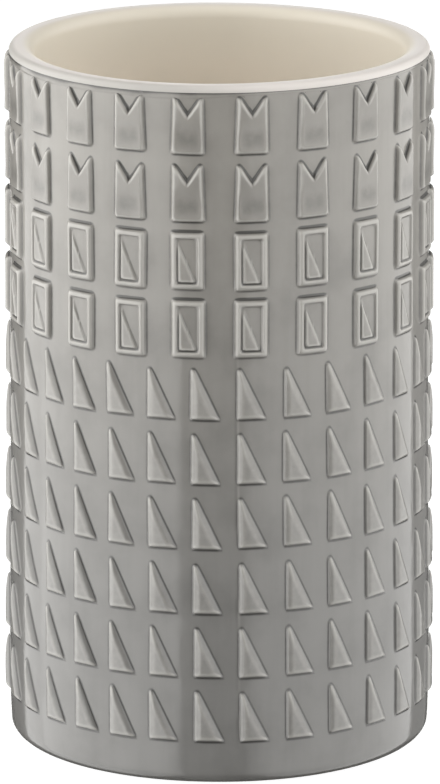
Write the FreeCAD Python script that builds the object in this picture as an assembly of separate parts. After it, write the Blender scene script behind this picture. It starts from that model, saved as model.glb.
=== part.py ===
import FreeCAD, Part

import math
import os

# A straight-sided ceramic tumbler: a clay cup, a cream glaze inside and over the lip, a grey glaze outside,
# and rows of moulded relief on the wall. Millimetres, +Z up, origin on the axis at the foot, front to -Y.

# Cup
height = 120.0              # foot to the crest of the lip
wall_radius = 35.6          # outside of the glazed wall between the motifs
wall_thickness = 4.2        # glazed wall, outside to inside
glaze_thickness = 0.4       # each coat of glaze
floor_thickness = 5.0       # clay between the hollow under the foot and the inside
floor_round = 6.0           # curve from the inside wall to the floor
lip_shoulder = 1.1          # outer round of the lip, below which the grey glaze starts
lip_crest = 1.0             # flat on top of the lip, whose inner round takes the rest of the wall
foot_round = 2.0            # lower edge of the clay, left bare below the grey glaze
foot_ring_width = 4.0       # flat ring that the cup stands on
foot_hollow = 1.5           # depth of the hollow inside the foot ring

# Places of the relief rows
collar = 2.2                # plain band from the lip's crest to the horns of the upper tiles
tile_gap = 2.4              # between the two rows of notched tiles
frame_gap = 1.75            # above each row of frames and below the last one
foot_band = 8.0             # plain band under the lowest triangles
triangle_gap = 2.37         # between rows of triangles, which share what height is left

# Notched tiles
tile_count = 22             # the frames have the same number
tile_height = 9.2
tile_foot_width = 5.7
tile_head_width = 5.2
tile_notch_height = 6.5     # bottom of the notch above the tile's foot
tile_corner_radius = 0.5
horn_radius = 0.25          # round on the two tips beside the notch
notch_radius = 0.15         # round in the bottom of the notch

# Frames and the wedge inside each
frame_height = 9.85
frame_width = 5.7
frame_border = 1.15
frame_corner_radius = 0.4
recess_corner_radius = 0.2
wedge_groove = 0.3          # between a wedge and the border beside and below it
wedge_tip_gap = 0.9         # from a wedge's rounded tip to the border above it
wedge_tip_radius = 0.2
wedge_corner_radius = 0.15

# Triangles
triangle_rows = 6
triangle_count = 30
triangle_turn = 8.7         # degrees from the front to the middle of the first triangle
triangle_width = 5.0
triangle_tip_radius = 0.45
triangle_corner_radius = 0.4

# Relief in general
relief = 0.8                # tiles, frames and triangles above the wall
relief_lean = 0.35          # how far their sides lean in from foot to face
wedge_relief = 0.6
wedge_lean = 0.2
overrun = 0.6               # how far a block runs into the wall before it is trimmed
face_overrun = 0.1          # and how far past its face
full_turn = 360.0           # degrees

# Sizes that follow
inside_radius = wall_radius - wall_thickness
clay_radius = wall_radius - glaze_thickness
clay_floor = foot_hollow + floor_thickness
glazed_floor = clay_floor + glaze_thickness
lip_line = height - lip_shoulder
lip_inner_round = wall_thickness - lip_shoulder - lip_crest
foot_edge = clay_radius - foot_round
recess_width = frame_width - 2 * frame_border
recess_height = frame_height - 2 * frame_border
wedge_width = recess_width - 2 * wedge_groove
wedge_height = recess_height - wedge_groove - wedge_tip_gap

tile_feet = [height - collar - tile_height]
tile_feet.append(tile_feet[0] - tile_gap - tile_height)
frame_feet = [tile_feet[1] - frame_gap - frame_height]
frame_feet.append(frame_feet[0] - frame_gap - frame_height)
triangle_pitch = (frame_feet[1] - frame_gap - foot_band + triangle_gap) / triangle_rows
triangle_height = triangle_pitch - triangle_gap
triangle_feet = [foot_band + triangle_pitch * row for row in reversed(range(triangle_rows))]

CENTRE = FreeCAD.Vector(0, 0, 0)
BACK = FreeCAD.Vector(0, 1, 0)
UP = FreeCAD.Vector(0, 0, 1)


# Layers turned about the axis
def at(radius, z):
    """Corner of a profile, or point of an outline that faces the front."""
    return FreeCAD.Vector(radius, 0, z)


def arc(radius, z, round_radius, start, end):
    """Arc of a profile about a centre, between two directions in degrees from outward."""
    points = []
    for direction in (start, (start + end) / 2, end):
        turn = math.radians(direction)
        points.append(at(radius + round_radius * math.cos(turn), z + round_radius * math.sin(turn)))
    return Part.Arc(*points).toShape()


def turned(*run):
    """Solid turned from a closed run of corners and arcs, with straight lines between them."""
    starts = []
    ends = []
    for piece in run:
        is_arc = isinstance(piece, Part.Edge)
        starts.append(piece.valueAt(piece.FirstParameter) if is_arc else piece)
        ends.append(piece.valueAt(piece.LastParameter) if is_arc else piece)
    edges = []
    for i, piece in enumerate(run):
        if isinstance(piece, Part.Edge):
            edges.append(piece)
        edges.append(Part.LineSegment(ends[i], starts[(i + 1) % len(run)]).toShape())
    return Part.Face(Part.Wire(edges)).revolve(CENTRE, UP, full_turn)


def make_clay_body():
    """Cup of clay with a rounded lip, standing on a ring round a shallow hollow."""
    return turned(
        at(0, foot_hollow),
        at(foot_edge - foot_ring_width, foot_hollow),
        at(foot_edge - foot_ring_width, 0),
        arc(foot_edge, foot_round, foot_round, -90, 0),
        arc(wall_radius - lip_shoulder, lip_line, lip_shoulder - glaze_thickness, 0, 90),
        arc(inside_radius + lip_inner_round, height - lip_inner_round, lip_inner_round - glaze_thickness, 90, 180),
        arc(inside_radius - floor_round, glazed_floor + floor_round, floor_round + glaze_thickness, 0, -90),
        at(0, clay_floor),
    )


def make_inner_glaze():
    """Coat over the floor, the inside wall and the lip, down to the line where the grey glaze starts."""
    return turned(
        at(0, clay_floor),
        arc(inside_radius - floor_round, glazed_floor + floor_round, floor_round + glaze_thickness, -90, 0),
        arc(inside_radius + lip_inner_round, height - lip_inner_round, lip_inner_round - glaze_thickness, 180, 90),
        arc(wall_radius - lip_shoulder, lip_line, lip_shoulder - glaze_thickness, 90, 0),
        arc(wall_radius - lip_shoulder, lip_line, lip_shoulder, 0, 90),
        arc(inside_radius + lip_inner_round, height - lip_inner_round, lip_inner_round, 90, 180),
        arc(inside_radius - floor_round, glazed_floor + floor_round, floor_round, 0, -90),
        at(0, glazed_floor),
    )


def make_outer_glaze():
    """Coat over the outside wall, rounded off where it stops above the bare foot."""
    return turned(
        arc(clay_radius, foot_round + glaze_thickness, glaze_thickness, -90, 0),
        at(wall_radius, lip_line),
        at(clay_radius, lip_line),
    )


# Outlines of the motifs, counter-clockwise as seen from the front, each with a radius for every corner
def point_height(width, tip_height, tip_radius):
    """Height where a right triangle's long edges would meet, if they end in a round that tops out at tip_height.

    The long slanted edge leaves the foot's far corner and touches the round, whose centre is one radius in
    from the upright edge and one radius below the top.
    """
    across = width - tip_radius
    rise = tip_height - tip_radius
    lean = math.atan2(rise, across) + math.asin(tip_radius / math.hypot(across, rise))
    return width * math.tan(lean)


def right_triangle(width, tip_height, tip_radius, corner_radius):
    """Upright edge at the left, slanted edge from the tip down to the right."""
    left = -width / 2
    corners = [at(left, 0), at(-left, 0), at(left, point_height(width, tip_height, tip_radius))]
    return corners, [corner_radius, corner_radius, tip_radius]


def rectangle(width, tall, corner_radius):
    """Upright rectangle."""
    side = width / 2
    return [at(-side, 0), at(side, 0), at(side, tall), at(-side, tall)], [corner_radius] * 4


def notched_tile():
    """Upright tile, slightly narrower at its head, with a V cut from the whole head."""
    foot = tile_foot_width / 2
    head = tile_head_width / 2
    horn = tile_notch_height + point_height(head, tile_height - tile_notch_height, horn_radius)
    corners = [at(-foot, 0), at(foot, 0), at(head, horn), at(0, tile_notch_height), at(-head, horn)]
    return corners, [tile_corner_radius, tile_corner_radius, horn_radius, notch_radius, horn_radius]


# Relief solids
def inset_outline(corners, inset):
    """Outline with every edge moved inward by the same amount."""
    inward = []
    for i, corner in enumerate(corners):
        along = (corners[(i + 1) % len(corners)] - corner).normalize()
        inward.append(along.cross(BACK))
    moved = []
    for i, corner in enumerate(corners):
        both = inward[i - 1] + inward[i]
        moved.append(corner + both * (inset / both.dot(inward[i])))
    return moved


def rounded_wire(corners, radii):
    """Closed outline whose corners are arcs that touch both edges."""
    edges = []
    arc_ends = []
    for i, corner in enumerate(corners):
        back = (corners[i - 1] - corner).normalize()
        onward = (corners[(i + 1) % len(corners)] - corner).normalize()
        half_angle = back.getAngle(onward) / 2
        centre = corner + (back + onward).normalize() * (radii[i] / math.sin(half_angle))
        reach = radii[i] / math.tan(half_angle)
        crown = centre + (corner - centre).normalize() * radii[i]
        arc_ends.append((corner + back * reach, corner + onward * reach))
        edges.append(Part.Arc(arc_ends[i][0], crown, arc_ends[i][1]).toShape())
    wire_edges = []
    for i, edge in enumerate(edges):
        wire_edges.append(edge)
        wire_edges.append(Part.LineSegment(arc_ends[i][1], arc_ends[(i + 1) % len(corners)][0]).toShape())
    return Part.Wire(wire_edges)


def drafted_block(outline, rise, lean):
    """Block at the front whose section is the outline at the wall and is inset by lean at the face."""
    corners, radii = outline
    sections = []
    for distance in (wall_radius - overrun, wall_radius + rise + face_overrun):
        section = rounded_wire(inset_outline(corners, lean * (distance - wall_radius) / rise), radii)
        section.translate(BACK * -distance)
        sections.append(section)
    return Part.makeLoft(sections, True, True)


def seated(block, rise, foot):
    """The part of a block that stands on the wall and ends at a face concentric with it, moved up to its row."""
    wall = Part.makeCylinder(wall_radius, height)
    face = Part.makeCylinder(wall_radius + rise, height)
    block.translate(UP * foot)
    return block.cut(wall).common(face).Solids[0]


def around(solid, count, first_turn):
    """Evenly spaced copies of a front motif round the axis."""
    copies = []
    for index in range(count):
        copy = solid.copy()
        copy.rotate(CENTRE, UP, first_turn + full_turn * index / count)
        copies.append(copy)
    return Part.makeCompound(copies)


def make_tile_row(foot):
    """Row of notched tiles, with a gap at the front between two of them."""
    tile = seated(drafted_block(notched_tile(), relief, relief_lean), relief, foot)
    return around(tile, tile_count, full_turn / tile_count / 2)


def make_frame_row(foot):
    """Row of frames, below the tiles: a rectangle with a recess whose sides lean out towards the face."""
    block = drafted_block(rectangle(frame_width, frame_height, frame_corner_radius), relief, relief_lean)
    recess = drafted_block(rectangle(recess_width, recess_height, recess_corner_radius), relief, -relief_lean)
    recess.translate(UP * frame_border)
    return around(seated(block.cut(recess), relief, foot), tile_count, full_turn / tile_count / 2)


def make_wedge_row(foot):
    """Row of wedges, each on the wall inside a frame with a groove round it."""
    outline = right_triangle(wedge_width, wedge_height, wedge_tip_radius, wedge_corner_radius)
    block = drafted_block(outline, wedge_relief, wedge_lean)
    wedge = seated(block, wedge_relief, foot + frame_border + wedge_groove)
    return around(wedge, tile_count, full_turn / tile_count / 2)


def make_triangle_row(foot):
    """Row of right triangles, all leaning the same way."""
    outline = right_triangle(triangle_width, triangle_height, triangle_tip_radius, triangle_corner_radius)
    triangle = seated(drafted_block(outline, relief, relief_lean), relief, foot)
    return around(triangle, triangle_count, triangle_turn)


# The tumbler from the clay outward, rows numbered from the lip down
nodes = {
    "clay_body": make_clay_body(),
    "inner_glaze": make_inner_glaze(),
    "outer_glaze": make_outer_glaze(),
}
for number, foot in enumerate(tile_feet, 1):
    nodes[f"notched_tile_row_{number}"] = make_tile_row(foot)
for number, foot in enumerate(frame_feet, 1):
    nodes[f"frame_row_{number}"] = make_frame_row(foot)
    nodes[f"frame_wedge_row_{number}"] = make_wedge_row(foot)
for number, foot in enumerate(triangle_feet, 1):
    nodes[f"triangle_row_{number}"] = make_triangle_row(foot)

os.makedirs("parts", exist_ok=True)
for name, shape in nodes.items():
    shape.exportStep(f"parts/{name}.step")
    print(name, len(shape.Solids), "solids", round(shape.Volume, 2), "mm3", shape.isValid())
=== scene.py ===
import math

import bpy
import numpy as np
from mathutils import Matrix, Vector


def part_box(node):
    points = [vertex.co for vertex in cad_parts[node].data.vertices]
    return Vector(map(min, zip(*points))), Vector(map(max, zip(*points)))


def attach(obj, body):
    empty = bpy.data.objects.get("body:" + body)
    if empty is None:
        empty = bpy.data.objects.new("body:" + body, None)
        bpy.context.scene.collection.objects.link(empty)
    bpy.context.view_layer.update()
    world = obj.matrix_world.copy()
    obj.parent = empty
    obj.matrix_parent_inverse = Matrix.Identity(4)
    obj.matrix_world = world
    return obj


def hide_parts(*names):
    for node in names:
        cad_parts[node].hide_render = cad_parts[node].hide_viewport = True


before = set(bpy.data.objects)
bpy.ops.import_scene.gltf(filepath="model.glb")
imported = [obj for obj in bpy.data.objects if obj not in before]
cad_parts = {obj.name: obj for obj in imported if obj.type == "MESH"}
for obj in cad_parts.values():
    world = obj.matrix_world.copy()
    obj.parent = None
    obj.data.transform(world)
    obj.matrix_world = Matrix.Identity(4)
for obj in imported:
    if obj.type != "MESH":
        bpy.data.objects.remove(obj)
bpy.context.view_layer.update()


# Clay body
# The cup itself is buff stoneware, cast from slip in a plaster mould and fired hard. The two glazes
# cover it, except for the ring that it stands on and the hollow inside that ring, which are wiped bare
# before firing.
clay_colour = (0.56, 0.46, 0.34, 1)
clay_pale = (0.66, 0.57, 0.45, 1)
clay_speck = (0.20, 0.13, 0.08, 1)
clay_cloud_scale = 160.0
clay_speck_scale = 900.0
clay_sand_scale = 2600.0
clay_tooth = 0.0001


def node(tree, kind, sockets=None, **settings):
    """Shader node of a kind with its settings, each socket linked to another socket or given a value."""
    made = tree.nodes.new("ShaderNode" + kind)
    for name, value in settings.items():
        setattr(made, name, value)
    for name, value in (sockets or {}).items():
        if isinstance(value, bpy.types.NodeSocket):
            tree.links.new(value, made.inputs[name])
        else:
            made.inputs[name].default_value = value
    return made


def fired_surface(name):
    """New material with its node tree, its shader and the piece's own coordinates, for every finish."""
    material = bpy.data.materials.new(name)
    material.use_nodes = True
    tree = material.node_tree
    place = tree.nodes.new("ShaderNodeTexCoord").outputs["Object"]
    return material, tree, tree.nodes["Principled BSDF"], place


def clouds(tree, place, scale, detail):
    """Soft noise about one half, with a scale in clouds to the metre and finer detail inside them."""
    return node(tree, "TexNoise", {"Vector": place, "Scale": scale, "Detail": detail}).outputs["Fac"]


def two_tone(tree, factor, first, second):
    """Colour that goes from the first to the second as the factor goes from 0 to 1."""
    mixed = node(tree, "Mix", {0: factor, 6: first, 7: second}, data_type="RGBA")
    return mixed.outputs[2]


def stretched(tree, value, low, high, first=0.0, last=1.0):
    """A value between low and high brought to the range from first to last, eased at both ends."""
    sockets = {"Value": value, 1: low, 2: high, 3: first, 4: last}
    return node(tree, "MapRange", sockets, interpolation_type="SMOOTHSTEP").outputs[0]


def bumped(tree, shader, rise, strength, depth):
    """Gives the shader a bump that follows the rise, so deep where the rise is 1."""
    bump = node(tree, "Bump", {"Height": rise, "Strength": strength, "Distance": depth})
    tree.links.new(bump.outputs["Normal"], shader.inputs["Normal"])


def bare_clay():
    """Matt stoneware: cloudy buff with small iron specks and a fine sandy tooth."""
    material, tree, shader, place = fired_surface("bare_clay")
    cloud = clouds(tree, place, clay_cloud_scale, 4.0)
    body = two_tone(tree, stretched(tree, cloud, 0.35, 0.65), clay_colour, clay_pale)
    grain = node(tree, "TexVoronoi", {"Vector": place, "Scale": clay_speck_scale}).outputs["Distance"]
    speck = stretched(tree, grain, 0.10, 0.22, 1.0, 0.0)
    tree.links.new(two_tone(tree, speck, body, clay_speck), shader.inputs["Base Color"])
    sand = clouds(tree, place, clay_sand_scale, 3.0)
    bumped(tree, shader, sand, 0.5, clay_tooth)
    tree.links.new(stretched(tree, cloud, 0.3, 0.7, 0.78, 0.92), shader.inputs["Roughness"])
    return material


clay_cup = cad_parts["clay_body"]
clay_cup.data.materials.clear()
clay_cup.data.materials.append(bare_clay())


# Cream lining
# A thin pale glaze is poured into the cup, swilled round and poured out again, so it coats the floor, the
# inside wall and the whole of the lip. On the lip it is drawn thin and fires whiter, low down it is
# painted paler as light against the shade deep in the cup, and on the right it is painted darker as shade.
lining_low, lining_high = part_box("inner_glaze")
wall_radius = lining_high.x
height = lining_high.z
coat = 0.0004
wall_thickness = 0.0042
inside_radius = wall_radius - wall_thickness
floor_round = 0.006
lip_shoulder = 0.0011
lip_inner_round = 0.0021
lip_line = height - lip_shoulder
kiln_oval = 0.00010
kiln_wave = 0.00012
lining_steps = 360
arc_steps = 9
longest_step = 0.003
sharpest_smooth = math.radians(60)
cream = (0.70, 0.650, 0.555, 1)
# The next colour is painted light, paler deep in the cup against the shade there, and the one after it is
# painted shade on the right.
cream_painted_light = (0.87, 0.79, 0.68, 1)
cream_painted_shade = (0.56, 0.515, 0.44, 1)
cream_lip = (0.71, 0.67, 0.635, 1)
lip_veil = (0.40, 0.39, 0.365, 1)
mouth_heights = (0.104, 0.119)
painted_shade_side = (0.005, 0.032)
lip_white = (inside_radius + 0.0008, inside_radius + 0.0022)
veil_side = (-0.014, 0.012)
veil_edge = (wall_radius - 0.0014, wall_radius - 0.0003)
cream_cloud_scale = 70.0
cream_ripple_scale = 220.0
glaze_ripple = 0.0002


def rounded_profile(corners, rounds):
    """Profile of (radius, height) points: straight runs between corners, and at each corner an arc of its
    round. The arc's centre lies on the line that halves the corner, at the round's distance from both
    runs."""
    corners = np.array(corners)
    pieces = [corners[:1]]
    for before, corner, after, size in zip(corners[:-2], corners[1:-1], corners[2:], rounds):
        back = (before - corner) / np.linalg.norm(before - corner)
        onward = (after - corner) / np.linalg.norm(after - corner)
        half = np.arccos(back @ onward) / 2
        centre = corner + (back + onward) / np.linalg.norm(back + onward) * size / np.sin(half)
        first = corner + back * size / np.tan(half) - centre
        last = corner + onward * size / np.tan(half) - centre
        share = np.linspace(0, 1, arc_steps)[:, None]
        opened = np.pi - 2 * half
        swept = (np.sin((1 - share) * opened) * first + np.sin(share * opened) * last) / np.sin(opened)
        pieces.append(centre + swept if size else corner[None])
    pieces.append(corners[-1:])
    run = np.concatenate(pieces)
    along = np.concatenate([[0], np.cumsum(np.hypot(*np.diff(run, axis=0).T))])
    parts = np.ceil(np.diff(along) / longest_step).astype(int)
    places = np.interp(np.arange(parts.sum() + 1), np.concatenate([[0], np.cumsum(parts)]), along)
    return np.interp(places, along, run[:, 0]), np.interp(places, along, run[:, 1])


def fired(radius, angle, z):
    """Points at a radius, an angle from the front and a height, with the slight warp of a pot in the kiln:
    the wall goes oval and the lip goes wavy, both with the cube of the height."""
    share = (z / height) ** 3
    radius = radius + kiln_oval * share * np.cos(2 * angle + 0.7)
    z = z + kiln_wave * share * (np.sin(2 * angle - 0.5) - 1)
    return np.stack([radius * np.sin(angle), -radius * np.cos(angle), z + 0 * radius], axis=-1)


def make_piece(name, points, faces, material, stands_for, pool_and_painted_light=None):
    """Object of a closed surface, smooth except at square edges, with how deep the glaze pools on it and
    where shade and light are painted on it.
    """
    mesh = bpy.data.meshes.new(name)
    mesh.from_pydata(points.tolist(), [], faces, shade_flat=False)
    mesh.set_sharp_from_angle(angle=sharpest_smooth)
    if pool_and_painted_light is not None:
        layer = mesh.attributes.new("pool_and_painted_light", "FLOAT", "POINT")
        layer.data.foreach_set("value", pool_and_painted_light.astype(np.float32))
    mesh.materials.append(material)
    piece = bpy.data.objects.new(name, mesh)
    bpy.context.scene.collection.objects.link(piece)
    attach(piece, "root")
    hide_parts(*stands_for)


def turned_shell(radius, z, steps):
    """Profile from axis to axis turned about it: each inner profile point makes a ring of steps points,
    joined to the next ring by squares, and the two ends on the axis close the rings beside them with
    triangles."""
    angle = np.arange(steps)[:, None] * 2 * np.pi / steps
    rings = fired(radius[None, 1:-1], angle, z[None, 1:-1])
    rows = rings.shape[1]
    ends = fired(np.zeros(2), np.zeros(2), z[[0, -1]])
    points = np.concatenate([rings.reshape(-1, 3), ends])
    index = np.arange(steps * rows).reshape(steps, rows)
    beside = np.roll(index, -1, axis=0)
    squares = np.stack([index[:, 1:], beside[:, 1:], beside[:, :-1], index[:, :-1]], axis=-1)
    first = np.stack([np.full(steps, len(points) - 2), index[:, 0], beside[:, 0]], axis=-1)
    last = np.stack([np.full(steps, len(points) - 1), beside[:, -1], index[:, -1]], axis=-1)
    return points, squares.reshape(-1, 4).tolist() + first.tolist() + last.tolist()


def cream_glaze():
    """Satin cream glaze: paler low down, which is painted light against the shade deep in the cup, whiter
    on the lip, darker on the right as painted shade, and faintly cloudy. On the left a thin veil of the
    grey glaze has crept up over the lip's outer shoulder."""
    material, tree, shader, place = fired_surface("cream_glaze")
    across, _, up = node(tree, "SeparateXYZ", {0: place}).outputs
    level = node(tree, "VectorMath", {0: place, 1: (1.0, 1.0, 0.0)}, operation="MULTIPLY").outputs[0]
    radius = node(tree, "VectorMath", {0: level}, operation="LENGTH").outputs["Value"]
    cloud = clouds(tree, place, cream_cloud_scale, 4.0)
    # Deep in the cup the cream is painted paler, light against the shade there, and on the right it is
    # painted darker, shade against the stronger light there.
    inside = two_tone(tree, stretched(tree, cloud, 0.3, 0.7, 0.0, 0.35), cream_painted_light, cream)
    raised = two_tone(tree, stretched(tree, up, *mouth_heights), inside, cream)
    right_shaded = two_tone(tree, stretched(tree, across, *painted_shade_side, 0.0, 0.5), raised, cream_painted_shade)
    lip = two_tone(tree, stretched(tree, radius, *lip_white), right_shaded, cream_lip)
    left_share = stretched(tree, across, *veil_side, 0.75, 0.0)
    veil = stretched(tree, radius, *veil_edge, 0.0, left_share)
    tree.links.new(two_tone(tree, veil, lip, lip_veil), shader.inputs["Base Color"])
    tree.links.new(stretched(tree, cloud, 0.3, 0.7, 0.36, 0.46), shader.inputs["Roughness"])
    ripple = clouds(tree, place, cream_ripple_scale, 2.0)
    bumped(tree, shader, ripple, 0.10, glaze_ripple)
    return material


lining_floor = lining_low.z + coat
lining_corners = [
    (0, lining_floor),
    (inside_radius, lining_floor),
    (inside_radius, height),
    (wall_radius, height),
    (wall_radius, lip_line),
    (wall_radius - coat, lip_line),
    (wall_radius - coat, height - coat),
    (inside_radius + coat, height - coat),
    (inside_radius + coat, lining_low.z),
    (0, lining_low.z),
]
lining_rounds = [floor_round, lip_inner_round, lip_shoulder, 0, 0]
lining_rounds += [lip_shoulder - coat, lip_inner_round - coat, floor_round + coat]
lining_run = rounded_profile(lining_corners, lining_rounds)
lining_points, lining_faces = turned_shell(*lining_run, lining_steps)
make_piece("cream_lining", lining_points, lining_faces, cream_glaze(), ["inner_glaze"])


# Plain bands of the grey glaze
# The outside is dipped in a grey glaze that runs a little as it melts: it breaks pale over edges, pools
# dark beside them, where shade is painted too, and sags down the wall. It starts in a soft roll under the
# lip and ends wrapped round the foot, where it is thin and painted pale as a reflection of the white
# floor.
foot_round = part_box("outer_glaze")[0].z
foot_margin = 0.0012
foot_band_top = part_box("triangle_row_6")[0].z - foot_margin
foot_swell = 0.0005
swell_start = 0.005
swell_fade = 0.040
foot_wrap = 74
foot_thin = 0.00005
# How pale the glaze is painted round the foot: a painted reflection of the white floor.
foot_painted_reflection = -0.7
foot_rows = 8
foot_arc_steps = 12
collar_margin = 0.0005
collar_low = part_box("notched_tile_row_1")[1].z + collar_margin
collar_steps = 12
collar_back_dark = 0.6
roll_lap = 0.00014
roll_depth = 0.00060
roll_sunk = 0.00004
roll_least = 0.00003
roll_thickness = 0.00006
band_steps = 480
grey_thin_and_reflected = (0.50, 0.485, 0.455, 1)
# Higher on the wall the grey is warmer, the glaze's own tone, and lighter as painted light.
grey_high_warm_lit = (0.333, 0.319, 0.294, 1)
grey_low = (0.243, 0.239, 0.230, 1)
grey_deep_and_shade = (0.060, 0.059, 0.056, 1)
grey_lit_heights = (0.015, 0.118)
grey_cloud_scale = 110.0
grey_fine_scale = 900.0
grey_run_scale = 420.0
grey_run_stretch = (1.0, 1.0, 0.07)
grey_ripple_scale = 300.0
seam_turn = math.radians(5.0)
seam_lean = math.radians(0.9)
seam_half_part = math.pi / 3
seam_starts = (0.006, 0.012)
seam_ends = (0.068, 0.078)
seam_line_edge = (0.00004, 0.00034)
seam_shade_edge = (0.00004, 0.00044)
seam_shade_beside = 0.00036


def worked(tree, operation, *values):
    """Result of one sum on values and sockets, in the order that the operation takes them."""
    return node(tree, "Math", dict(enumerate(values)), operation=operation).outputs[0]


def grey_glaze():
    """Glossy grey glaze: warmer high on the wall and lighter there as painted light, pale where it thins
    over edges and dark where it pools, with painted shade in hollows, beside edges and under the motifs
    and a painted reflection of the floor round the foot, all of which an attribute on the mesh says, with
    faint clouds, runs down the wall and a ripple in the gloss. Low on the wall a broken pale line with a
    shade beside it marks each seam of the three-part mould. The way to it is the angle from the nearest
    seam, which leans a little, times the radius."""
    material, tree, shader, place = fired_surface("grey_glaze")
    across, along, up = node(tree, "SeparateXYZ", {0: place}).outputs
    cloud = clouds(tree, place, grey_cloud_scale, 5.0)
    fine = clouds(tree, place, grey_fine_scale, 3.0)
    drawn = node(tree, "Mapping", {"Vector": place, "Scale": grey_run_stretch}).outputs[0]
    runs = clouds(tree, drawn, grey_run_scale, 3.0)
    # Lighter up the wall as painted light, and warmer as the glaze is.
    plain = two_tone(tree, stretched(tree, up, *grey_lit_heights), grey_low, grey_high_warm_lit)
    clouded = two_tone(tree, stretched(tree, cloud, 0.35, 0.85, 0.0, 0.26), plain, grey_deep_and_shade)
    streaked = two_tone(tree, stretched(tree, runs, 0.40, 0.75, 0.0, 0.07), clouded, grey_deep_and_shade)
    # The attribute holds how deep the glaze pools and also painted shade in hollows, beside edges and
    # under the motifs, and a painted reflection of the floor round the foot.
    pool_and_painted_light = node(tree, "Attribute", attribute_name="pool_and_painted_light").outputs["Fac"]
    uneven = worked(tree, "MULTIPLY_ADD", fine, 0.24, -0.12)
    depth = worked(tree, "ADD", pool_and_painted_light, uneven)
    pooled_and_shaded = two_tone(tree, stretched(tree, depth, 0.06, 1.00, 0.0, 0.88), streaked, grey_deep_and_shade)
    thinned_and_reflected = two_tone(tree, stretched(tree, depth, -0.10, -0.80, 0.0, 0.75), pooled_and_shaded, grey_thin_and_reflected)
    front = worked(tree, "MULTIPLY", along, -1.0)
    turn = worked(tree, "ARCTAN2", across, front)
    leaned = worked(tree, "MULTIPLY_ADD", up, seam_lean / height, turn)
    from_seam = worked(tree, "SUBTRACT", leaned, seam_turn + seam_lean / 2)
    wrapped = worked(tree, "WRAP", from_seam, seam_half_part, -seam_half_part)
    beside = worked(tree, "MULTIPLY", wrapped, wall_radius)
    off_line = worked(tree, "ABSOLUTE", beside)
    above_foot = stretched(tree, up, *seam_starts)
    broken = stretched(tree, cloud, 0.38, 0.62, 0.0, above_foot)
    low_part = stretched(tree, up, *seam_ends, broken, 0.0)
    line = stretched(tree, off_line, *seam_line_edge, 0.22, 0.0)
    ridge = worked(tree, "MULTIPLY", line, low_part)
    shifted = worked(tree, "ADD", beside, seam_shade_beside)
    off_shade = worked(tree, "ABSOLUTE", shifted)
    shade = stretched(tree, off_shade, *seam_shade_edge, 0.18, 0.0)
    low_shade = worked(tree, "MULTIPLY", shade, low_part)
    shaded = two_tone(tree, low_shade, thinned_and_reflected, grey_deep_and_shade)
    tree.links.new(two_tone(tree, ridge, shaded, grey_thin_and_reflected), shader.inputs["Base Color"])
    tree.links.new(stretched(tree, cloud, 0.3, 0.7, 0.09, 0.14), shader.inputs["Roughness"])
    ripple = clouds(tree, place, grey_ripple_scale, 2.0)
    raised = worked(tree, "ADD", ripple, ridge)
    bumped(tree, shader, raised, 0.20, glaze_ripple)
    return material


def swell(z):
    """How far the wall bulges as it sank a little in the kiln: none at the foot, most some way above it,
    and fading out again by half the height."""
    return foot_swell * (1 - np.exp(-z / swell_start)) * np.exp(-(z / swell_fade) ** 2)


def ring_shell(radius, z, angle):
    """Closed section carried round the axis: radius and z have a row for each angle and a column for each
    point of the section, and squares join each point to the next along the section and to the same one at
    the next angle."""
    points = fired(radius, angle, z)
    steps, around = points.shape[:2]
    index = np.arange(steps * around).reshape(steps, around)
    beside = np.roll(index, -1, axis=0)
    corners = [index, beside, np.roll(beside, -1, axis=1), np.roll(index, -1, axis=1)]
    return points.reshape(-1, 3), np.stack(corners, axis=-1).reshape(-1, 4).tolist()


grey = grey_glaze()
band_angle = np.arange(band_steps)[:, None] * 2 * np.pi / band_steps

# The foot band goes down the wall, round under the clay's lower edge, and back up behind its own coat.
foot_turn = np.radians(np.linspace(0, -foot_wrap, foot_arc_steps))
foot_coat = foot_round + np.linspace(coat, foot_thin, foot_arc_steps)
foot_centre = wall_radius - coat - foot_round
foot_radius = np.concatenate([
    np.full(foot_rows, wall_radius),
    foot_centre + foot_coat * np.cos(foot_turn),
    foot_centre + foot_round * np.cos(foot_turn[::-1]),
    [wall_radius - coat],
])
foot_z = np.concatenate([
    np.linspace(foot_band_top, foot_round, foot_rows + 1)[:-1],
    foot_round + foot_coat * np.sin(foot_turn),
    foot_round + foot_round * np.sin(foot_turn[::-1]),
    [foot_band_top],
])
foot_outside = foot_rows + foot_arc_steps
foot_radius[:foot_outside] += swell(foot_z[:foot_outside])
foot_reflection_profile = np.zeros(len(foot_z))
# Paler round the foot, a painted reflection of the white floor.
foot_reflection_profile[foot_rows:foot_outside] = np.linspace(0, foot_painted_reflection, foot_arc_steps)
foot_points, foot_faces = ring_shell(foot_radius[None, ::-1], foot_z[None, ::-1], band_angle)
foot_reflection_round = np.tile(foot_reflection_profile[::-1], band_steps)
make_piece("grey_foot_band", foot_points, foot_faces, grey, ["outer_glaze"], foot_reflection_round)

# The collar is a flat roll with a wavy lower edge, thicker and lower on the left half of the pot. It is
# dark along the lip, where glaze pools and shade is painted in the crease, and on that half it also has
# uneven runs.
roll_share = 0.5 - 0.5 * np.tanh(6 * np.sin(band_angle + 0.02))
roll_wave = 0.00008 * np.sin(9 * band_angle) + 0.00004 * np.sin(23 * band_angle)
roll_edge = collar_low - roll_lap - roll_depth * roll_share + roll_wave
roll_rise = roll_thickness * roll_share + roll_least
collar_turn = np.linspace(0, 1, collar_steps)[None]
collar_rise = np.sin(np.pi * collar_turn ** 0.8) ** 1.6
collar_radius = np.concatenate([
    wall_radius - roll_sunk + (roll_rise + roll_sunk) * collar_rise,
    np.full((band_steps, 2), wall_radius - coat),
], axis=1)
collar_z = np.concatenate([
    roll_edge + (lip_line - roll_edge) * collar_turn,
    np.full((band_steps, 1), lip_line),
    np.full((band_steps, 1), collar_low),
], axis=1)
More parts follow.
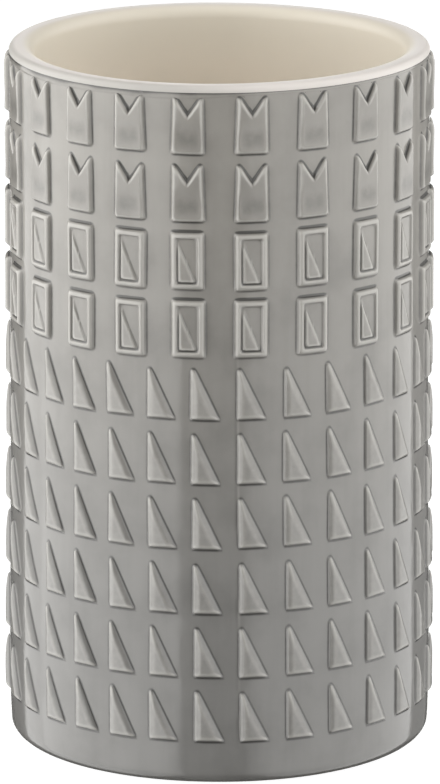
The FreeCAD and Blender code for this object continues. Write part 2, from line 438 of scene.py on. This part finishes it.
collar_runs = 1 + 0.5 * np.sin(13 * band_angle + 1) + 0.4 * np.sin(29 * band_angle)
# Dark along the lip: pooled glaze and painted shade in the crease under the lip.
collar_dark = 0.08 + 0.95 * collar_turn ** 4 + 0.34 * roll_share * collar_runs * collar_turn
collar_pool_and_shade = np.concatenate([collar_dark, np.full((band_steps, 2), collar_back_dark)], axis=1).ravel()
collar_points, collar_faces = ring_shell(collar_radius, collar_z, band_angle)
make_piece("grey_collar", collar_points, collar_faces, grey, ["outer_glaze"], collar_pool_and_shade)


# Two rows of notched tiles
# Upright tiles with a V cut into the head, cast with the wall in the mould and softened by the glaze. The
# faces are slightly dished, and the spacing drifts with the three parts of the mould.
row_names = ["notched_tile_row_1", "notched_tile_row_2", "frame_row_1", "frame_row_2"]
row_names += [f"triangle_row_{n}" for n in range(1, 7)]
row_boxes = [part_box(name) for name in row_names]
row_ends = [collar_low]
row_ends += [(above[0].z + below[1].z) / 2 for above, below in zip(row_boxes[:-1], row_boxes[1:])]
row_ends += [foot_band_top]
low_row_drop = 0.0003
low_row_top = 0.06
row_feet = [box[0].z - low_row_drop * max(0, 1 - box[0].z / low_row_top) for box in row_boxes]
row_limits = list(zip(row_ends[1:], row_feet, row_ends[:-1]))

relief = 0.0008
chance_tilt = (-0.8, 0.8)
chance_size = (0.985, 1.015)
chance_aside = (-0.00013, 0.00013)
chance_lift = (-0.00012, 0.00012)
chance_thickness = (0.92, 1.05)
# Darkening beside and under the motifs: pooled glaze and painted shade where the wall around lies higher.
pool_and_shade_reach = 0.00042
pool_and_shade_rise = 0.00022
ledge_reach = 0.00045
ledge_shade = 1.1

tile_count = 22
horn_extra = 0.0003
tile_height = row_boxes[0][1].z - row_boxes[0][0].z + horn_extra
tile_foot_width = 0.0057
tile_head_width = 0.0052
tile_notch_height = 0.0067
tile_notch_half = 0.00190
tile_notch_round = 0.00015
tile_round = 0.00030
tile_chamfer = 0.00030
tile_side_edge = 0.00075
tile_end_edge = 0.0006
horn_least = 0.00002
tile_dish = 0.00017
tile_dish_half = 0.0025
tile_dish_middle = 0.0027
tile_dish_tall = 0.0023
tile_heart = (0, 0.0030)
tile_points = (22, 20)
tile_inner = (0.3, 0.55, 0.8)
tile_levels = np.array([
    -1.00, -0.80, -0.64, -0.51, -0.40, -0.30, -0.21, -0.13, -0.05, 0.03, 0.11, 0.20, 0.32, 0.46]) * 0.001
tile_seed = 11


def polygon_distance(u, v, corners, round_size):
    """Distance to an outline, negative inside: the least distance to any side of the polygon through the
    centres of its corner rounds, with the sign from the sides that a level line crosses, less the
    round."""
    least = np.full(np.broadcast(u, v).shape, np.inf)
    inside = np.zeros(least.shape, bool)
    for (u0, v0), (u1, v1) in zip(corners, corners[1:] + corners[:1]):
        run = u1 - u0
        climb = v1 - v0
        share = np.clip(((u - u0) * run + (v - v0) * climb) / (run ** 2 + climb ** 2), 0, 1)
        least = np.minimum(least, np.hypot(u - u0 - share * run, v - v0 - share * climb))
        if v1 != v0:
            inside ^= ((v0 > v) != (v1 > v)) & (u < u0 + run * (v - v0) / climb)
    return np.where(inside, -least, least) - round_size


def least_of(blend, *heights):
    """The least of several heights, rounded where two meet: minus the logarithm of their exponentials."""
    return -np.log(sum(np.exp(-blend * np.clip(rise, -9, 9)) for rise in heights)) / blend


def cast_face(*shares):
    """Height of a cast and glazed face, from 0 on the wall to 1. Each share is the way in from one side
    over the width of the soft edge there. The least of them counts, eased out of the wall by a parabola
    and rounded over into the face by a power."""
    fillet = 0.22
    corner_blend = 3.5
    edge_power = 2.3
    least = least_of(corner_blend, *shares)
    eased = np.where(least < fillet, np.clip(least + fillet, 0, None) ** 2 / (4 * fillet), least)
    return 1 - (1 - np.clip(eased, 0, 1)) ** edge_power


def reach(distance, heart, direction, level):
    """How far from the heart each ray meets a level of the distance, by halving the stretch it lies in."""
    longest = 0.02
    halvings = 28
    near = np.zeros(np.broadcast(direction[0], level).shape)
    far = near + longest
    for _ in range(halvings):
        middle = (near + far) / 2
        within = distance(heart[0] + middle * direction[0], heart[1] + middle * direction[1]) < level
        near = np.where(within, middle, near)
        far = np.where(within, far, middle)
    return near


def rays(distance, heart, cell, counts):
    """Directions from a motif's heart, in four runs between the corners of its cell, and closer together
    where the outline turns: each run is shared out evenly by the outline's length plus its turning."""
    samples = 900
    turning_length = 0.0011
    low_u, high_u, low_v, high_v = cell
    corner_u = np.array([low_u, high_u, high_u, low_u, low_u]) - heart[0]
    corner_v = np.array([low_v, low_v, high_v, high_v, low_v]) - heart[1]
    corner_turn = np.unwrap(np.arctan2(corner_v, corner_u))
    runs = []
    for start, end, count in zip(corner_turn[:-1], corner_turn[1:], counts):
        turn = np.linspace(start, end, samples)
        way = np.stack([np.cos(turn), np.sin(turn)])
        edge = way * reach(distance, heart, way, 0.0)
        step = np.diff(edge, axis=1)
        bend = np.abs(np.diff(np.unwrap(np.arctan2(step[1], step[0])), append=np.nan))
        weight = np.hypot(*step) + turning_length * np.nan_to_num(bend)
        measure = np.concatenate([[0], np.cumsum(weight)])
        runs.append(np.interp(np.arange(count) * measure[-1] / count, measure, turn))
    turn = np.concatenate(runs)
    return np.stack([np.cos(turn), np.sin(turn)])


def drift(angle):
    """Where a motif really sits: the wall shrank unevenly, by a degree or two, with one wave round the pot
    and one in each of the mould's three parts."""
    degrees = 0.85 + 0.8 * np.sin(angle) + 0.9 * np.cos(3 * (angle - np.radians(55)))
    return angle + np.radians(degrees)


def relief_row(distance, rise, glaze, heart, middles, limits, counts, inner, levels, seed):
    """Band of wall with one motif in each cell. Rings round each motif lie where its outline's distance
    takes set levels, further rings blend to the cell's border, which neighbours share, and a back wall
    closes the band. The rise gives each point's height above the wall. The rise around a point less its
    own, with more under each foot, gives how deep the glaze pools there and the shade painted in these
    hollows, to which the glaze adds what lies on the face and the shade it paints beside edges."""
    low, foot, high = limits
    count = len(middles)
    pitch = 2 * np.pi / count * wall_radius
    wide, tall = counts
    along = 2 * (wide + tall)
    cell = (-pitch / 2, pitch / 2, low - foot, high - foot)
    way = rays(distance, heart, cell, (wide, tall, wide, tall))
    ring = reach(distance, heart, way[:, None, :], np.array(levels)[:, None])
    ring = np.concatenate([np.array(inner)[:, None] * ring[:1], ring])
    motif_u = heart[0] + ring * way[0]
    motif_v = heart[1] + ring * way[1]

    chance = np.random.default_rng(seed)
    each = (count, 1, 1)
    tilt = np.radians(chance.uniform(*chance_tilt, each))
    size = chance.uniform(*chance_size, each)
    aside = chance.uniform(*chance_aside, each)
    lifted = chance.uniform(*chance_lift, each)
    thick = chance.uniform(*chance_thickness, each)

    def seated(u, v):
        """Points of the motif where each cell has it: turned, sized and moved a little by chance."""
        return (aside + size * (np.cos(tilt) * u - np.sin(tilt) * v),
                lifted + size * (np.sin(tilt) * u + np.cos(tilt) * v))

    ring_u, ring_v = seated(motif_u, motif_v)
    heart_u, heart_v = seated(np.array([heart[0]]), np.array([heart[1]]))

    gap_ends = (middles + np.roll(middles, 1) - 2 * np.pi * (np.arange(count) == 0)) / 2
    next_ends = np.roll(gap_ends, -1) + 2 * np.pi * (np.arange(count) == count - 1)
    left = ((gap_ends - middles) * wall_radius)[:, None]
    right = ((next_ends - middles) * wall_radius)[:, None]
    across = np.arange(wide) / wide
    upward = np.arange(tall) / tall
    share_u = np.concatenate([across, np.ones(tall), 1 - across, np.zeros(tall)])
    share_v = np.concatenate([np.zeros(wide), upward, np.ones(wide), 1 - upward])
    border_u = left + (right - left) * share_u
    border_v = np.broadcast_to(low - foot + (high - low) * share_v, border_u.shape)
    outward = np.array([0.3, 0.65])[None, :, None]
    blend_u = ring_u[:, -1:] + outward * (border_u[:, None] - ring_u[:, -1:])
    blend_v = ring_v[:, -1:] + outward * (border_v[:, None] - ring_v[:, -1:])

    around = np.radians(np.arange(0, 360, 30))[:, None, None]
    ring_rise = rise(motif_u, motif_v)
    near_rise = rise(motif_u + pool_and_shade_reach * np.cos(around), motif_v + pool_and_shade_reach * np.sin(around)).mean(0)
    # Under each foot the wall is darkened: pooled glaze and painted shade where the motif overhangs it.
    ledge = np.clip(rise(motif_u, motif_v - ledge_reach) - ring_rise, 0, None) / relief
    ring_pool_and_shade = (near_rise - ring_rise) / pool_and_shade_rise + ledge_shade * ledge + glaze(motif_u, motif_v)
    heart_rise = rise(np.array([heart[0]]), np.array([heart[1]]))

    rings = ring_u.shape[1] + blend_u.shape[1]
    inner_shape = (count, rings, along)
    grid_u = np.concatenate([ring_u, blend_u], axis=1)
    grid_v = np.concatenate([ring_v, blend_v], axis=1)
    grid_rise = np.zeros(inner_shape)
    grid_rise[:, :len(ring_rise)] = thick * ring_rise
    grid_pool_and_shade = np.zeros(inner_shape)
    grid_pool_and_shade[:, :len(ring_rise)] = ring_pool_and_shade
    cell_angle = middles[:, None, None]
    grid_radius = wall_radius + swell(foot + grid_v) + grid_rise
    grid = fired(grid_radius, cell_angle + grid_u / wall_radius, foot + grid_v)
    heart_radius = wall_radius + swell(foot + heart_v) + thick * heart_rise
    hearts = fired(heart_radius, cell_angle + heart_u / wall_radius, foot + heart_v)

    own = np.r_[0:wide, wide + tall + 1:along]
    border_angle = cell_angle[:, :, 0] + border_u / wall_radius
    border = fired(wall_radius + swell(foot + border_v), border_angle, foot + border_v)[:, own]
    border_at = np.empty((count, along), int)
    border_at[:, own] = count * rings * along + np.arange(count * len(own)).reshape(count, -1)
    up_side = np.arange(tall + 1)
    border_at[:, wide + up_side] = np.roll(border_at, -1, axis=0)[:, (along - up_side) % along]
    heart_at = count * (rings * along + len(own)) + np.arange(count)
    ring_at = np.arange(count * rings * along).reshape(inner_shape)

    inside_at = np.concatenate([ring_at, border_at[:, None]], axis=1)
    turned_at = np.roll(inside_at, -1, axis=2)
    corners = [inside_at[:, :-1], inside_at[:, 1:], turned_at[:, 1:], turned_at[:, :-1]]
    squares = np.stack(corners, axis=-1)
    fans = np.stack([np.repeat(heart_at[:, None], along, 1), inside_at[:, 0], turned_at[:, 0]], axis=-1)

    top_side = along - tall - np.arange(wide)
    bottom_at = border_at[:, :wide].ravel()
    top_at = border_at[:, top_side].ravel()
    bottom_angle = border_angle[:, :wide].ravel()
    top_angle = border_angle[:, top_side].ravel()
    behind = wall_radius - coat
    back_low = fired(behind, bottom_angle, np.full(bottom_angle.shape, low))
    back_high = fired(behind, top_angle, np.full(top_angle.shape, high))
    back_start = heart_at[-1] + 1
    back_low_at = back_start + np.arange(len(bottom_at))
    back_high_at = back_start + len(bottom_at) + np.arange(len(top_at))

    def strip(first, second):
        """Squares between two rings of equal count, in the order that faces them outward."""
        return np.stack([np.roll(first, -1), first, second, np.roll(second, -1)], axis=-1)

    closing = np.concatenate([
        strip(bottom_at, back_low_at),
        strip(back_low_at, back_high_at),
        strip(back_high_at, top_at),
    ])
    points = np.concatenate([
        grid.reshape(-1, 3),
        border.reshape(-1, 3),
        hearts.reshape(-1, 3),
        back_low,
        back_high,
    ])
    faces = squares.reshape(-1, 4).tolist() + fans.reshape(-1, 3).tolist() + closing.tolist()
    rest = np.zeros(len(points) - grid_pool_and_shade.size)
    border_count = border.size // 3
    rest[border_count:border_count + count] = glaze(np.full(count, heart[0]), np.full(count, heart[1]))
    pool_and_painted_light = np.concatenate([grid_pool_and_shade.ravel(), rest])
    return points, faces, pool_and_painted_light


def tile_distance(u, v):
    """Outline of a notched tile about the middle of its foot, through the centres of its corner rounds:
    cut corners at the foot, and two blunt horns beside the notch."""
    foot_side = tile_foot_width / 2 - tile_round
    head_side = tile_head_width / 2 - tile_round
    head = tile_height - tile_round
    notch_slope = tile_notch_half / (tile_height - tile_notch_height)
    notch_low = tile_notch_height - tile_round * math.hypot(1, notch_slope) / notch_slope
    horn_side = (head - notch_low) * notch_slope
    right = [
        (foot_side - tile_chamfer, tile_round),
        (foot_side, tile_round + tile_chamfer),
        (head_side, head),
        (min(horn_side, head_side - horn_least), head),
    ]
    left = [(-u0, v0) for u0, v0 in reversed(right)]
    return polygon_distance(u, v, right + [(0, notch_low)] + left, tile_round)


def tile_hollow(u, v):
    """Shallow oval bowl in the lower middle of a tile's face, falling off from 1 at its middle as a bell
    does."""
    return np.exp(-(u / tile_dish_half) ** 4 - ((v - tile_dish_middle) / tile_dish_tall) ** 2)


def tile_rise(u, v):
    """Cast face inside the two sides, the foot, the head and the V, dished by the bowl."""
    half = tile_foot_width / 2 + (tile_head_width - tile_foot_width) / 2 * v / tile_height
    notch_rise = tile_height - tile_notch_height
    notch_side = math.hypot(notch_rise, tile_notch_half)
    beside = np.sqrt(u ** 2 + tile_notch_round ** 2)
    notch = (beside * notch_rise - (v - tile_notch_height) * tile_notch_half) / notch_side
    face = cast_face(
        (half + u) / tile_side_edge,
        (half - u) / tile_side_edge,
        v / tile_end_edge,
        (tile_height - v) / tile_end_edge,
        notch / tile_end_edge,
    )
    return relief * face * (1 - tile_dish / relief * tile_hollow(u, v))


def tile_glaze_and_shade(u, v):
    """Glaze slightly thinner on the face than on the wall, and darker in the bowl over the lower face,
    with glaze pooled there and painted shade.
    """
    return 0.52 * tile_hollow(u, v) - 0.15 * tile_rise(u, v) / relief


tile_middles = drift((np.arange(tile_count) + 0.5) * 2 * np.pi / tile_count)
for row in (0, 1):
    points, faces, pool_and_painted_light = relief_row(
        tile_distance, tile_rise, tile_glaze_and_shade, tile_heart, tile_middles, row_limits[row],
        tile_points, tile_inner, tile_levels, tile_seed + row)
    make_piece(f"tile_row_{row + 1}", points, faces, grey, [row_names[row]], pool_and_painted_light)


# Two rows of frames with a wedge inside
# Upright rectangular frames with a rounded border, and in the sunk middle of each a thin right-angled
# wedge that stands nearly as high as the border. They are cast with the wall, and the narrow groove round
# the wedge is dark with pooled glaze and painted shade.
frame_height = row_boxes[2][1].z - row_boxes[2][0].z
frame_width = 0.0057
frame_border = 0.00115
frame_round = 0.0004
frame_edge = 0.0008
recess_floor_share = 0.54
recess_edge = 0.0005
recess_lap = 0.0002
wedge_groove = 0.00018
wedge_tip_gap = 0.0004
wedge_share = 0.40
wedge_edge = 0.0003
wedge_slant_edge = 0.0005
frame_heart = (0, frame_height / 2)
frame_points = (18, 28)
frame_inner = (0.25, 0.5, 0.75)
frame_levels = np.array([
    -2.20, -2.02, -1.88, -1.76, -1.66, -1.57, -1.48, -1.40, -1.32, -1.24, -1.16, -1.08, -1.00, -0.91,
    -0.82, -0.72, -0.60, -0.48, -0.38, -0.29, -0.20, -0.11, -0.03, 0.05, 0.13, 0.22, 0.34, 0.46]) * 0.001
frame_seed = 21


def frame_distance(u, v):
    """Outline of a frame about the middle of its foot: a rectangle with rounded corners."""
    beyond_u = np.abs(u) - frame_width / 2 + frame_round
    beyond_v = np.abs(v - frame_height / 2) - frame_height / 2 + frame_round
    outside = np.hypot(np.maximum(beyond_u, 0), np.maximum(beyond_v, 0))
    return outside + np.minimum(np.maximum(beyond_u, beyond_v), 0) - frame_round


def frame_rise(u, v):
    """Border with soft edges, a sunk floor inside it, and on that floor the wedge: upright at the left of
    the recess, with its point at the top and its long slanted side towards the right."""
    left = u + frame_width / 2
    right = frame_width / 2 - u
    head = frame_height - v
    border = cast_face(left / frame_edge, right / frame_edge, v / frame_edge, head / frame_edge)
    inner = frame_border - recess_lap
    recess = cast_face(
        (left - inner) / recess_edge,
        (right - inner) / recess_edge,
        (v - inner) / recess_edge,
        (head - inner) / recess_edge,
    )
    inset = frame_border + wedge_groove
    run = frame_width - 2 * inset
    climb = frame_height - inset - frame_border - wedge_tip_gap
    slant = (run * climb - (left - inset) * climb - (v - inset) * run) / math.hypot(run, climb)
    wedge = cast_face((left - inset) / wedge_edge, (v - inset) / wedge_edge, slant / wedge_slant_edge)
    return relief * (border - (1 - recess_floor_share) * recess + wedge_share * wedge)


def frame_glaze(u, v):
    """Glaze slightly thinner on the border than on the wall."""
    return -0.30 * frame_rise(u, v) / relief


for row in (2, 3):
    points, faces, pool_and_painted_light = relief_row(
        frame_distance, frame_rise, frame_glaze, frame_heart, tile_middles, row_limits[row],
        frame_points, frame_inner, frame_levels, frame_seed + row)
    stands_for = [f"frame_row_{row - 1}", f"frame_wedge_row_{row - 1}"]
    make_piece(f"framed_row_{row - 1}", points, faces, grey, stands_for, pool_and_painted_light)


# Six rows of triangles
# Right-angled triangles with the upright side to the left, cast with the wall like the rows above, thick
# and soft-edged, so the light glaze breaks along their edges. Painted shade lies in a line along their
# sides, and pooled glaze with painted shade in a line under each foot.
triangle_count = 30
triangle_turn = math.radians(8.7)
triangle_lean = math.radians(0.16)
straight_row = 6
triangle_height = row_boxes[4][1].z - row_boxes[4][0].z
triangle_width = 0.0050
triangle_round = 0.00042
triangle_tip_drop = 0.00025
triangle_tip_width = 0.00080
triangle_side_edge = 0.0006
triangle_foot_edge = 0.0009
triangle_top_edge = 0.0007
upright_bevel = 0.00105
slant_bevel = 0.00130
bevel_blend = 9
# Lines of painted shade beside the upright side, beside the slanted side and under the foot.
upright_shade_line = (0.00008, 0.00022)
slant_shade_line = (0.00005, 0.00030)
foot_shade_line = (0.00012, 0.00026)
triangle_heart = (-0.0009, 0.0027)
triangle_points = (12, 18)
triangle_inner = (0.35, 0.7)
triangle_levels = np.array([
    -1.30, -1.05, -0.85, -0.68, -0.54, -0.42, -0.31, -0.21, -0.12, -0.04, 0.04, 0.13, 0.23, 0.34,
    0.46]) * 0.001
triangle_seed = 31


def triangle_distance(u, v):
    """Outline of a triangle about the middle of its foot, through the centres of its corner rounds, with
    the tip cut blunt."""
    left = -triangle_width / 2 + triangle_round
    right = triangle_width / 2 - 1.5 * triangle_round
    blunt = left + triangle_tip_width - 2 * triangle_round
    tip = triangle_height - triangle_tip_drop - triangle_round
    corners = [(left, triangle_round), (right, triangle_round), (blunt, tip), (left, tip)]
    return polygon_distance(u, v, corners, triangle_round)


def triangle_sides(u, v):
    """How far a point lies inside the upright side and inside the slanted side."""
    left = u + triangle_width / 2
    climb = triangle_height - triangle_tip_drop
    run = triangle_width - triangle_tip_width
    return left, ((triangle_width - left) * climb - v * run) / math.hypot(run, climb)


def triangle_rise(u, v):
    """Cast face inside the upright side, the foot, the slanted side and the blunt top, cut down by two
    bevels: a straight one along the upright side, and a wider one along the slanted side that rounds
    over."""
    left, slant = triangle_sides(u, v)
    top = triangle_height - triangle_tip_drop - v
    face = cast_face(
        left / triangle_side_edge,
        v / triangle_foot_edge,
        slant / triangle_side_edge,
        top / triangle_top_edge,
    )
    upright = 0.30 + 0.70 * left / upright_bevel
    slope = 1 - (1 - np.clip(0.10 + 0.90 * slant / slant_bevel, 0, 1)) ** 1.6
    return relief * np.maximum(least_of(bevel_blend, face, upright, slope), 0)


def shade_beside_edge(way_in, line):
    """Line of painted shade outside an edge: a bell over the way in, at a distance out and with a width.
    """
    return np.exp(-((way_in + line[0]) / line[1]) ** 2)


def triangle_glaze_and_shade(u, v):
    """Glaze thinner on the face than on the wall, and a line of painted shade along each side and under
    the foot.
    """
    left, slant = triangle_sides(u, v)
    sides = shade_beside_edge(left, upright_shade_line) + shade_beside_edge(slant, slant_shade_line)
    under = shade_beside_edge(v, foot_shade_line) * (np.abs(u) < triangle_width / 2)
    return 0.18 * sides + 0.40 * under - 0.35 * triangle_rise(u, v) / relief


triangle_middles = drift(triangle_turn + np.arange(triangle_count) * 2 * np.pi / triangle_count)
for row in range(4, 10):
    row_middles = triangle_middles + triangle_lean * (row - straight_row)
    points, faces, pool_and_painted_light = relief_row(
        triangle_distance, triangle_rise, triangle_glaze_and_shade, triangle_heart, row_middles, row_limits[row],
        triangle_points, triangle_inner, triangle_levels, triangle_seed + row)
    make_piece(f"triangle_band_{row - 3}", points, faces, grey, [row_names[row]], pool_and_painted_light)


# Studio
# A plain white floor and background, tall soft panels at the left and right that the glaze mirrors, with a
# dark gap between them in front, weaker panels behind and above, and the camera a little above the lip.
photo_height = 784
focal_pixels = 7776
sensor_height = 24.0
camera_place = (0.0001, -1.2855, 0.3844)
camera_aim = (0.0001, 0.0, 0.0591)
lamp_colour = (1.0, 0.995, 0.98)
lamp_spread = math.radians(160)
white = (1, 1, 1, 1)
world_dark = (0.055, 0.055, 0.055, 1)
floor_half = 3.0
floor_strength = 0.90
floor_grey = (0.30, 0.30, 0.30, 1)


def aimed(thing, place, aim):
    """Puts a camera or lamp at a place, turned so that it looks at the aim with its top upward."""
    offset = np.array(aim) - np.array(place)
    across = math.hypot(offset[0], offset[1])
    pitch = math.pi / 2 + math.atan2(offset[2], across)
    thing.location = place
    thing.rotation_euler = (pitch, 0, -math.atan2(offset[0], offset[1]))


def soft_panel(name, place, aim, width, tall, radiance):
    """Rectangular lamp of a given brightness: its power is the brightness times pi times its area."""
    lamp = bpy.data.lights.new(name, "AREA")
    lamp.shape = "RECTANGLE"
    lamp.size = width
    lamp.size_y = tall
    lamp.energy = radiance * math.pi * width * tall
    lamp.spread = lamp_spread
    lamp.color = lamp_colour
    panel = bpy.data.objects.new(name, lamp)
    panel.visible_camera = False
    aimed(panel, place, aim)
    bpy.context.scene.collection.objects.link(panel)


def seen_directly(tree):
    """1 for rays from the camera, also through glass, and 0 for all others."""
    path = node(tree, "LightPath").outputs
    return worked(tree, "MAXIMUM", path["Is Camera Ray"], path["Is Transmission Ray"])


camera = bpy.data.cameras.new("photo_view")
camera.sensor_fit = "VERTICAL"
camera.sensor_height = sensor_height
camera.lens = focal_pixels / photo_height * sensor_height
camera_object = bpy.data.objects.new("photo_view", camera)
aimed(camera_object, camera_place, camera_aim)
bpy.context.scene.collection.objects.link(camera_object)
bpy.context.scene.camera = camera_object

soft_panel("left_panel", (-0.5, -0.55, -0.40), (0.0, -0.55, -0.40), 1.50, 2.60, 2.45)
soft_panel("left_end_panel", (-0.5, 0.333, -0.40), (0.0, 0.333, -0.40), 0.266, 2.60, 1.75)
soft_panel("right_panel", (0.5, -0.735, -0.40), (0.0, -0.735, -0.40), 2.27, 2.60, 1.85)
soft_panel("back_panel", (0.70, 0.95, 0.20), (0.0, 0.0, 0.20), 0.70, 1.40, 0.15)
soft_panel("far_panel", (0.0, 1.10, -0.05), (0.0, 0.0, -0.05), 0.40, 0.90, 1.50)
soft_panel("top_panel", (0.0, 0.05, 0.90), (0.0, 0.051, 0.0), 0.60, 0.60, 0.60)

world = bpy.data.worlds.new("studio")
world.use_nodes = True
bpy.context.scene.world = world
world_tree = world.node_tree
world_colour = two_tone(world_tree, seen_directly(world_tree), world_dark, white)
world_tree.links.new(world_colour, world_tree.nodes["Background"].inputs["Color"])

floor_material = bpy.data.materials.new("white_floor")
floor_material.use_nodes = True
floor_tree = floor_material.node_tree
floor_seen = seen_directly(floor_tree)
floor_glow = node(floor_tree, "Emission", {"Color": white, "Strength": floor_strength}).outputs[0]
floor_shade = node(floor_tree, "BsdfDiffuse", {"Color": floor_grey}).outputs[0]
floor_both = node(floor_tree, "AddShader", {0: floor_glow, 1: floor_shade}).outputs[0]
floor_mix = node(floor_tree, "MixShader", {0: floor_seen, 1: floor_shade, 2: floor_both}).outputs[0]
floor_tree.nodes.remove(floor_tree.nodes["Principled BSDF"])
floor_tree.links.new(floor_mix, floor_tree.nodes["Material Output"].inputs["Surface"])

floor_corners = [
    (-floor_half, -floor_half, 0),
    (floor_half, -floor_half, 0),
    (floor_half, floor_half, 0),
    (-floor_half, floor_half, 0),
]
floor_mesh = bpy.data.meshes.new("floor")
floor_mesh.from_pydata(floor_corners, [], [(0, 1, 2, 3)])
floor_mesh.materials.append(floor_material)
floor = bpy.data.objects.new("floor", floor_mesh)
floor.visible_glossy = False
bpy.context.scene.collection.objects.link(floor)

bpy.context.scene.view_settings.view_transform = "Standard"
